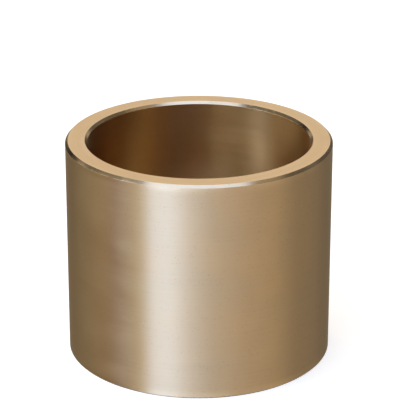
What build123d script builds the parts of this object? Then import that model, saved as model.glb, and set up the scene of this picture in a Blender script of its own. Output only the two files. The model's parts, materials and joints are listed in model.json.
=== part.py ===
from build123d import *

import os

# A plain bronze sleeve bushing: one straight tube that is pressed into a housing and carries a turning shaft.
# Millimetres. The origin is the centre of the lower end face, and +Z runs up the axis of the bore.

# Driving dimensions
bore_diameter = 25.0
outer_diameter = 30.0
length = 25.0
chamfer_size = 0.3  # 45 degrees, on the upper outer edge and on both mouths of the bore
edge_break = 0.1  # 45 degrees, on the lower outer edge, which is only deburred

os.makedirs("parts", exist_ok=True)

with BuildPart() as sleeve:
    # The ring of the end face, drawn out to the full length of the sleeve.
    with BuildSketch(Plane.XY):
        Circle(outer_diameter / 2)
        Circle(bore_diameter / 2, mode=Mode.SUBTRACT)
    extrude(amount=length)

    # Each end face has two round edges: the mouth of the bore, then the outer edge.
    upper_edges = sleeve.faces().sort_by(Axis.Z)[-1].edges()
    lower_mouth, lower_outer_edge = sleeve.faces().sort_by(Axis.Z)[0].edges().sort_by(SortBy.RADIUS)
    chamfer([*upper_edges, lower_mouth], length=chamfer_size)
    chamfer(lower_outer_edge, length=edge_break)

sleeve.part.label = "sleeve"
export_step(sleeve.part, "parts/sleeve.step")
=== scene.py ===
import json
import math
from collections import namedtuple

import bpy
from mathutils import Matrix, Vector


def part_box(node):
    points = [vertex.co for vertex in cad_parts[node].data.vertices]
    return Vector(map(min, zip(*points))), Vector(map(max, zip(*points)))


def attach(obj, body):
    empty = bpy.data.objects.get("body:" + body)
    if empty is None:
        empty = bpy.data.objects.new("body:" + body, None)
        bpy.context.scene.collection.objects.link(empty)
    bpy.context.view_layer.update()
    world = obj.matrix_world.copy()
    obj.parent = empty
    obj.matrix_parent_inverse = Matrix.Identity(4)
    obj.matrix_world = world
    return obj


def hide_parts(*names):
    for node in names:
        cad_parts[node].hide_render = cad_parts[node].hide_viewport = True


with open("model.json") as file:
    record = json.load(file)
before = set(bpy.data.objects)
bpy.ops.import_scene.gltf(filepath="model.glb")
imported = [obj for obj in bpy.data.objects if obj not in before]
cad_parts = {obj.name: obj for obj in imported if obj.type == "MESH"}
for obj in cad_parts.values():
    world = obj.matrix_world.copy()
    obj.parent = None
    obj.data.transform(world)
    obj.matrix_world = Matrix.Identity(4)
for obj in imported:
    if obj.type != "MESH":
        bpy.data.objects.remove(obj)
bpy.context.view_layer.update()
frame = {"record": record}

# A bronze sleeve bushing: one turned mesh stands for the CAD node, in four finishes of the same bronze, with
# painted shade darkening the bore's colour. It stands on a pale floor in a tent of soft light. Everything is
# in metres, in the frame's own axes.

# ---------------------------------------------------------------- sizes

MM = 0.001

# From the frame
low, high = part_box("sleeve")
mount_sizes = {mount["name"]: mount["dims"] for mount in frame["record"]["mounts"]}
LENGTH = high.z - low.z
OUTER_RADIUS = min(high.x - low.x, high.y - low.y) / 2
BORE_RADIUS = mount_sizes["bore"]["r_mm"] * MM
WALL = OUTER_RADIUS - BORE_RADIUS
CHAMFER = (LENGTH - mount_sizes["bore"]["length_mm"] * MM) / 2
EDGE_BREAK = LENGTH - mount_sizes["outside_diameter"]["length_mm"] * MM - CHAMFER

# Of the mesh
CORNER_RADIUS = 0.03 * MM  # what the cutting tool and tumbling leave on each corner
CORNER_STEPS = 4
SEGMENTS = 288  # round the axis

# Of the marks in the metal
LINE_DRIFT = 12 * MM  # how far a cut line runs round the axis before it changes
BAND_PITCH = 0.9 * MM  # the slow waver of the tool, which groups the cut lines
CLOUD_SIZE = 4 * MM
PORE_SPACING = 0.4 * MM
PORE_RADIUS = 0.05 * MM
WEAR_WIDTH = 0.8 * MM  # how far handling has rubbed the metal beside each chamfer

# ---------------------------------------------------------------- the turned mesh


def sleeve_outline():
    """The corners of the half section, (radius, height), anticlockwise, with the finish that follows each."""
    inner, outer, top = BORE_RADIUS, OUTER_RADIUS, LENGTH
    return [
        ((inner + CHAMFER, 0), "faced"),
        ((outer - EDGE_BREAK, 0), "chamfered"),
        ((outer, EDGE_BREAK), "turned"),
        ((outer, top - CHAMFER), "chamfered"),
        ((outer - CHAMFER, top), "faced"),
        ((inner + CHAMFER, top), "chamfered"),
        ((inner, top - CHAMFER), "bored"),
        ((inner, CHAMFER), "chamfered"),
    ]


def turned(vector, angle):
    """A vector of the half section, turned anticlockwise in it."""
    return Vector((
        vector.x * math.cos(angle) - vector.y * math.sin(angle),
        vector.x * math.sin(angle) + vector.y * math.cos(angle),
    ))


def rounded(outline):
    """The outline with an arc at each corner: a list of (point, normal, the finish that follows it)."""
    points = []
    for i, (corner, finish) in enumerate(outline):
        here = Vector(corner)
        before = (here - Vector(outline[i - 1][0])).normalized()
        after = (Vector(outline[(i + 1) % len(outline)][0]) - here).normalized()
        turn = -before.angle_signed(after)
        outward = Vector((before.y, -before.x))
        centre = here - before * CORNER_RADIUS * math.tan(turn / 2) - outward * CORNER_RADIUS
        for step in range(CORNER_STEPS + 1):
            normal = turned(outward, turn * step / CORNER_STEPS)
            follows = finish if step == CORNER_STEPS else "chamfered"
            points.append((centre + normal * CORNER_RADIUS, normal, follows))
    return points


def round_axis(vector, angle):
    """A vector of the half section, where the section stands at that angle round the Z axis."""
    return vector.x * math.cos(angle), vector.x * math.sin(angle), vector.y


def lathe(name, points, materials):
    """The points carried once round the Z axis, with exact normals and the material of each finish."""
    vertices, normals, faces, slots = [], [], [], []
    count = len(points)
    order = list(materials)
    for segment in range(SEGMENTS):
        angle = 2 * math.pi * segment / SEGMENTS
        ahead = (segment + 1) % SEGMENTS
        for i, (point, normal, finish) in enumerate(points):
            vertices.append(round_axis(point, angle))
            normals.append(round_axis(normal, angle))
            j = (i + 1) % count
            faces.append((segment * count + i, ahead * count + i, ahead * count + j, segment * count + j))
            slots.append(order.index(finish))
    mesh = bpy.data.meshes.new(name)
    mesh.from_pydata(vertices, [], faces)
    mesh.polygons.foreach_set("material_index", slots)
    mesh.polygons.foreach_set("use_smooth", [True] * len(faces))
    mesh.normals_split_custom_set_from_vertices(normals)
    mesh.update()
    for material in materials.values():
        mesh.materials.append(material)
    piece = bpy.data.objects.new(name, mesh)
    bpy.context.scene.collection.objects.link(piece)
    return piece


# ---------------------------------------------------------------- nodes


class Nodes:
    """A short way to add nodes to a tree and to join them. A value is a socket, or a number or colour."""

    def __init__(self, tree):
        self.tree = tree

    def add(self, kind, **settings):
        node = self.tree.nodes.new("ShaderNode" + kind)
        for key, value in settings.items():
            setattr(node, key, value)
        return node

    def feed(self, socket, value):
        if isinstance(value, bpy.types.NodeSocket):
            self.tree.links.new(value, socket)
        else:
            socket.default_value = value

    def feed_all(self, node, values):
        """Feeds the node's first inputs, and returns its first output."""
        for socket, value in zip(node.inputs, values):
            self.feed(socket, value)
        return node.outputs[0]

    def math(self, operation, *values):
        return self.feed_all(self.add("Math", operation=operation), values)

    def vector(self, operation, *values):
        return self.feed_all(self.add("VectorMath", operation=operation), values)

    def parts(self, vector):
        node = self.add("SeparateXYZ")
        self.feed(node.inputs[0], vector)
        return node.outputs

    def point(self, x, y, z, width, depth, height):
        """A place counted in steps of a width, a depth and a height."""
        steps = [self.math("DIVIDE", value, size) for value, size in ((x, width), (y, depth), (z, height))]
        return self.feed_all(self.add("CombineXYZ"), steps)

    def noise(self, place, detail):
        """Smooth noise around a half, that changes about once in each step of the place."""
        node = self.add("TexNoise")
        self.feed(node.inputs["Vector"], place)
        self.feed(node.inputs["Scale"], 1)
        self.feed(node.inputs["Detail"], detail)
        return node.outputs[0]

    def step(self, value, start, end):
        """A smooth step from 0, where the value is at start, to 1, where it is at end."""
        return self.feed_all(self.add("MapRange", interpolation_type="SMOOTHSTEP"), (value, start, end))

    def total(self, values, amounts):
        """The sum of the values, each times its amount."""
        result = 0.0
        for value, amount in zip(values, amounts):
            if amount:
                result = self.math("MULTIPLY_ADD", value, amount, result)
        return result

    def scaled(self, colour, amount):
        node = self.add("VectorMath", operation="SCALE")
        self.feed(node.inputs[0], colour)
        self.feed(node.inputs["Scale"], amount)
        return node.outputs[0]

    def mixed(self, factor, first, second):
        """The first colour where the factor is 0, and the second where it is 1."""
        node = self.add("Mix", data_type="RGBA")
        self.feed(node.inputs["Factor"], factor)
        self.feed(node.inputs[6], first)
        self.feed(node.inputs[7], second)
        return node.outputs[2]

    def angles(self, direction, middle):
        """A direction's azimuth from a middle in degrees, and its elevation, both in radians."""
        turned_back = self.add("VectorRotate", rotation_type="Z_AXIS")
        self.feed(turned_back.inputs["Vector"], direction)
        self.feed(turned_back.inputs["Angle"], -math.radians(middle))
        x, y, z = self.parts(turned_back.outputs[0])
        return self.math("ARCTAN2", x, self.math("MULTIPLY", y, -1)), self.math("ARCSINE", z)

    def edge(self, angle, middle, fade):
        """0 to 1 as the angle passes a middle in degrees, or 1 to 0 where the fade is negative."""
        return self.step(angle, math.radians(middle - fade / 2), math.radians(middle + fade / 2))

    def between(self, angle, bottom, top, fade):
        """1 between two angles and 0 outside them, with soft edges, in degrees."""
        return self.math("MULTIPLY", self.edge(angle, bottom, fade), self.edge(angle, top, -fade))


# ---------------------------------------------------------------- bronze

BRONZE = (0.60, 0.42, 0.23)
# The bore's colour below is darker and redder than the bronze: painted shade for the inside of the bore.
BORE_BRONZE_PAINTED_SHADE = (0.57, 0.36, 0.155)
REDDER = (1.02, 0.97, 0.92)  # times the bronze, at one end of its clouds
PALER = (0.98, 1.03, 1.08)  # and at the other
COAT_ROUGHNESS = 0.25  # the film of oil or lacquer
ACROSS = 0.25  # of a turn: cut lines run round the axis, so their highlight spreads along it

# The marks in the metal, and how much each changes the tone, the roughness and the relief.
Marks = namedtuple("Marks", "lines bands clouds pores wear")
TONE = Marks(lines=0.10, bands=0.07, clouds=0.10, pores=-0.16, wear=0.04)
ROUGHNESS = Marks(lines=0.08, bands=0.06, clouds=0.08, pores=0.20, wear=-0.05)
RELIEF = Marks(lines=1, bands=1, clouds=0, pores=-2, wear=0)

PORE_EDGE = 0.4  # of a pore's radius, inside and outside it
WEAR_FROM, WEAR_TO = 0.3, 0.6  # the cloud values where rubbing starts to show and where it is full

Finish = namedtuple("Finish", "colour roughness anisotropy coat line_pitch line_depth")
FINISHES = {
    "turned": Finish(BRONZE, 0.37, 0.9, 0.25, 0.12 * MM, 0.0006 * MM),
    "faced": Finish(BRONZE, 0.46, 0.0, 0.25, 0.16 * MM, 0.0008 * MM),
    "chamfered": Finish(BRONZE, 0.22, 0.0, 0.25, 0.10 * MM, 0.0004 * MM),
    # the bore's darker, redder colour is painted shade
    "bored": Finish(BORE_BRONZE_PAINTED_SHADE, 0.36, 0.9, 0.05, 0.08 * MM, 0.0004 * MM),
}


def metal_marks(nodes, line_pitch):
    """What a tool leaves as it runs round the axis, with clouds, pores and rubbed edges, each 0 to 1."""
    x, y, z = nodes.parts(nodes.add("TexCoord").outputs["Object"])
    radius = nodes.math("SQRT", nodes.math("MULTIPLY_ADD", x, x, nodes.math("MULTIPLY", y, y)))

    # The distance along the half section, near enough: it changes across walls, end faces and chamfers alike.
    along = nodes.math("MULTIPLY_ADD", radius, 2, z)
    lines = nodes.noise(nodes.point(x, y, along, LINE_DRIFT, LINE_DRIFT, line_pitch), detail=1)
    bands = nodes.noise(nodes.point(x, y, along, LINE_DRIFT, LINE_DRIFT, BAND_PITCH), detail=2)
    clouds = nodes.noise(nodes.point(x, y, z, CLOUD_SIZE, CLOUD_SIZE, CLOUD_SIZE), detail=3)

    cells = nodes.add("TexVoronoi")
    nodes.feed(cells.inputs["Vector"], nodes.point(x, y, z, PORE_SPACING, PORE_SPACING, PORE_SPACING))
    nodes.feed(cells.inputs["Scale"], 1)
    pore_radius = PORE_RADIUS / PORE_SPACING
    outside, inside = pore_radius * (1 + PORE_EDGE), pore_radius * (1 - PORE_EDGE)
    pores = nodes.step(cells.outputs["Distance"], outside, inside)

    # How far a point is from the nearest corner of the half section, on a wall and on an end face alike.
    off_middle = nodes.math("ABSOLUTE", nodes.math("SUBTRACT", radius, BORE_RADIUS + WALL / 2))
    off_centre = nodes.math("ABSOLUTE", nodes.math("SUBTRACT", z, LENGTH / 2))
    from_sides = nodes.math("SUBTRACT", WALL / 2, off_middle)
    from_ends = nodes.math("SUBTRACT", LENGTH / 2, off_centre)
    wear = nodes.step(nodes.math("MAXIMUM", from_sides, from_ends), CHAMFER + WEAR_WIDTH, CHAMFER)
    wear = nodes.math("MULTIPLY", wear, nodes.step(clouds, WEAR_FROM, WEAR_TO))
    return Marks(lines, bands, clouds, pores, wear)


def average(amounts):
    """What the three noises add on average, as each is around a half. Pores and wear add next to nothing."""
    return (amounts.lines + amounts.bands + amounts.clouds) / 2


def tinted(colour, tint):
    return (*(channel * share for channel, share in zip(colour, tint)), 1)


def bronze(name, finish):
    """Bronze with one finish. Its marks don't change its average tone and roughness."""
    material = bpy.data.materials.new(name)
    material.use_nodes = True
    nodes = Nodes(material.node_tree)
    marks = metal_marks(nodes, finish.line_pitch)

    tint = nodes.mixed(marks.clouds, tinted(finish.colour, REDDER), tinted(finish.colour, PALER))
    shade = nodes.math("ADD", nodes.total(marks, TONE), 1 - average(TONE))
    rough = nodes.math("ADD", nodes.total(marks, ROUGHNESS), finish.roughness - average(ROUGHNESS))
    bump = nodes.add("Bump")
    nodes.feed(bump.inputs["Strength"], 1)
    nodes.feed(bump.inputs["Distance"], finish.line_depth)
    nodes.feed(bump.inputs["Height"], nodes.total(marks, RELIEF))

    shader = material.node_tree.nodes["Principled BSDF"]
    sockets = {
        "Base Color": nodes.scaled(tint, shade),
        "Metallic": 1,
        "Roughness": rough,
        "Normal": bump.outputs[0],
        "Tangent": nodes.add("Tangent", direction_type="RADIAL", axis="Z").outputs[0],
        "Anisotropic": finish.anisotropy,
        "Anisotropic Rotation": ACROSS,
        "Coat Weight": finish.coat,
        "Coat Roughness": COAT_ROUGHNESS,
    }
    for socket, value in sockets.items():
        nodes.feed(shader.inputs[socket], value)
    return material


# ---------------------------------------------------------------- floor

FLOOR_SIZE = 4.0
FLOOR_COLOUR = (0.60, 0.59, 0.57)
FLOOR_GLOW = 0.6  # it is lit from behind, so that it comes out as white as the background


def add_floor():
    """A pale sheet. The tent goes on below it, so it neither blocks the light nor shows in the metal."""
    half = FLOOR_SIZE / 2
    corners = [(-half, -half, 0), (half, -half, 0), (half, half, 0), (-half, half, 0)]
    mesh = bpy.data.meshes.new("floor")
    mesh.from_pydata(corners, [], [(0, 1, 2, 3)])
    material = bpy.data.materials.new("pale floor")
    material.use_nodes = True
    shader = material.node_tree.nodes["Principled BSDF"]
    shader.inputs["Base Color"].default_value = (*FLOOR_COLOUR, 1)
    shader.inputs["Roughness"].default_value = 1
    shader.inputs["Specular IOR Level"].default_value = 0
    shader.inputs["Emission Color"].default_value = (1, 1, 1, 1)
    shader.inputs["Emission Strength"].default_value = FLOOR_GLOW
    mesh.materials.append(material)
    floor = bpy.data.objects.new("floor", mesh)
    floor.visible_glossy = False
    floor.visible_shadow = False
    bpy.context.scene.collection.objects.link(floor)


# ---------------------------------------------------------------- light tent

# All angles are in degrees: azimuth 0 is in front of the bushing and 90 is on its right. Where lights meet,
# they add up. The low band is what the upright walls mirror, with its colours at azimuths all the way round.
#
# These colours weren't all chosen by hand. A least-squares solver fitted the light to the photo's tones. From
# -48 to 120 the low band is within 8% of its output. The rest of the band and five panels (back, overhead,
# overhead behind, glint and high left) started from it. It is an open fault.
LOW_BAND_BOTTOM, LOW_BAND_TOP, LOW_BAND_FADE = -35, 1, 10
LOW_BAND = [
    (-180, (0.82, 0.77, 0.67)),
    (-165, (0.25, 0.21, 0.15)),
    (-140, (0.23, 0.19, 0.13)),
    (-110, (0.21, 0.19, 0.15)),
    (-84, (0.25, 0.13, 0.02)),
    (-70, (0.20, 0.06, 0.00)),
    (-60, (0.52, 0.43, 0.26)),
    (-48, (1.24, 1.29, 1.34)),
    (-40, (2.16, 2.88, 4.74)),
    (-25, (2.32, 3.14, 5.25)),
    (-8, (2.01, 2.34, 3.14)),
    (12, (1.52, 1.60, 1.80)),
    (40, (1.24, 1.18, 1.13)),
    (68, (1.02, 0.92, 0.78)),
    (90, (0.58, 0.53, 0.46)),
    (120, (0.38, 0.34, 0.29)),
    (140, (0.23, 0.20, 0.15)),
    (165, (0.23, 0.20, 0.15)),
    (180, (0.82, 0.77, 0.67)),
]

# Left, right, bottom and top are where a panel is at half strength, and the fade is how wide its edges are.
Panel = namedtuple("Panel", "name left right bottom top fade colour")
PANELS = [
    Panel("back", 150, 210, 8, 45, 10, (0.92, 0.88, 0.80)),
    Panel("overhead", -70, 66, 55, 91, 6, (1.30, 1.77, 3.0)),
    Panel("overhead behind", 110, 250, 50, 91, 6, (2.4, 2.1, 1.5)),
    Panel("far left", -126, -80, 8, 24, 10, (2.4, 2.4, 2.2)),
    Panel("left", -104, -80, 20, 38, 8, (1.7, 1.7, 1.6)),
    Panel("glint", -79, -62, 18, 48, 8, (6.5, 7.9, 10.8)),
    Panel("high left", -60, -15, 12, 56, 12, (1.6, 1.7, 1.7)),
    Panel("high right", 12, 48, 8, 40, 12, (0.22, 0.10, 0.01)),
    Panel("upper right", 66, 100, 46, 64, 8, (0.30, 0.28, 0.24)),
    Panel("upper ring", -200, 200, 25, 62, 10, (0.16, 0.16, 0.16)),
    Panel("far right", 100, 150, 0, 30, 12, (0.12, 0.12, 0.12)),
]


def low_band_light(nodes, direction):
    """The low band's light from a direction."""
    azimuth, elevation = nodes.angles(direction, 0)
    ring = nodes.add("ValToRGB")
    nodes.feed(ring.inputs[0], nodes.math("MULTIPLY_ADD", azimuth, 0.5 / math.pi, 0.5))
    stops = ring.color_ramp.elements
    stops.remove(stops[-1])
    for i, (angle, colour) in enumerate(LOW_BAND):
        place = angle / 360 + 0.5
        stop = stops.new(place) if i else stops[0]
        stop.position = place
        stop.color = (*colour, 1)
    level = nodes.between(elevation, LOW_BAND_BOTTOM, LOW_BAND_TOP, LOW_BAND_FADE)
    return nodes.scaled(ring.outputs["Color"], level)


def panel_light(nodes, direction, panel):
    """A panel's light from a direction."""
    azimuth, elevation = nodes.angles(direction, (panel.left + panel.right) / 2)
    half_width = (panel.right - panel.left) / 2
    across = nodes.edge(nodes.math("ABSOLUTE", azimuth), half_width, -panel.fade)
    level = nodes.between(elevation, panel.bottom, panel.top, panel.fade)
    return nodes.scaled(panel.colour, nodes.math("MULTIPLY", across, level))


def add_light_tent():
    """World light: plain white as a background, and the tent's soft light on everything in it."""
    world = bpy.data.worlds.new("light tent")
    world.use_nodes = True
    bpy.context.scene.world = world
    nodes = Nodes(world.node_tree)
    direction = nodes.add("TexCoord").outputs["Generated"]
    light = low_band_light(nodes, direction)
    for panel in PANELS:
        light = nodes.vector("ADD", light, panel_light(nodes, direction, panel))
    seen = nodes.mixed(nodes.add("LightPath").outputs["Is Camera Ray"], light, (1, 1, 1, 1))
    nodes.feed(world.node_tree.nodes["Background"].inputs["Color"], seen)


# ---------------------------------------------------------------- camera

SENSOR_WIDTH, LENS = 36, 185.4  # millimetres
VIEW_ELEVATION = math.radians(21.6)
VIEW_DISTANCE = 0.2335
AIM_HEIGHT = 0.7 * LENGTH
SHIFT = 0.0026  # to the side, of the picture's width


def add_camera():
    data = bpy.data.cameras.new("camera")
    data.sensor_width = SENSOR_WIDTH
    data.lens = LENS
    data.shift_x = SHIFT
    camera = bpy.data.objects.new("camera", data)
    back = Vector((0, -math.cos(VIEW_ELEVATION), math.sin(VIEW_ELEVATION)))
    camera.location = Vector((0, 0, AIM_HEIGHT)) + back * VIEW_DISTANCE
    camera.rotation_mode = "QUATERNION"
    camera.rotation_quaternion = (-back).to_track_quat("-Z", "Y")
    bpy.context.scene.collection.objects.link(camera)
    bpy.context.scene.camera = camera


# ---------------------------------------------------------------- build

materials = {name: bronze(name + " bronze", finish) for name, finish in FINISHES.items()}
sleeve = lathe("bushing_sleeve", rounded(sleeve_outline()), materials)
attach(sleeve, "root")
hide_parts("sleeve")

add_floor()
add_light_tent()
add_camera()
bpy.context.scene.view_settings.view_transform = "Standard"
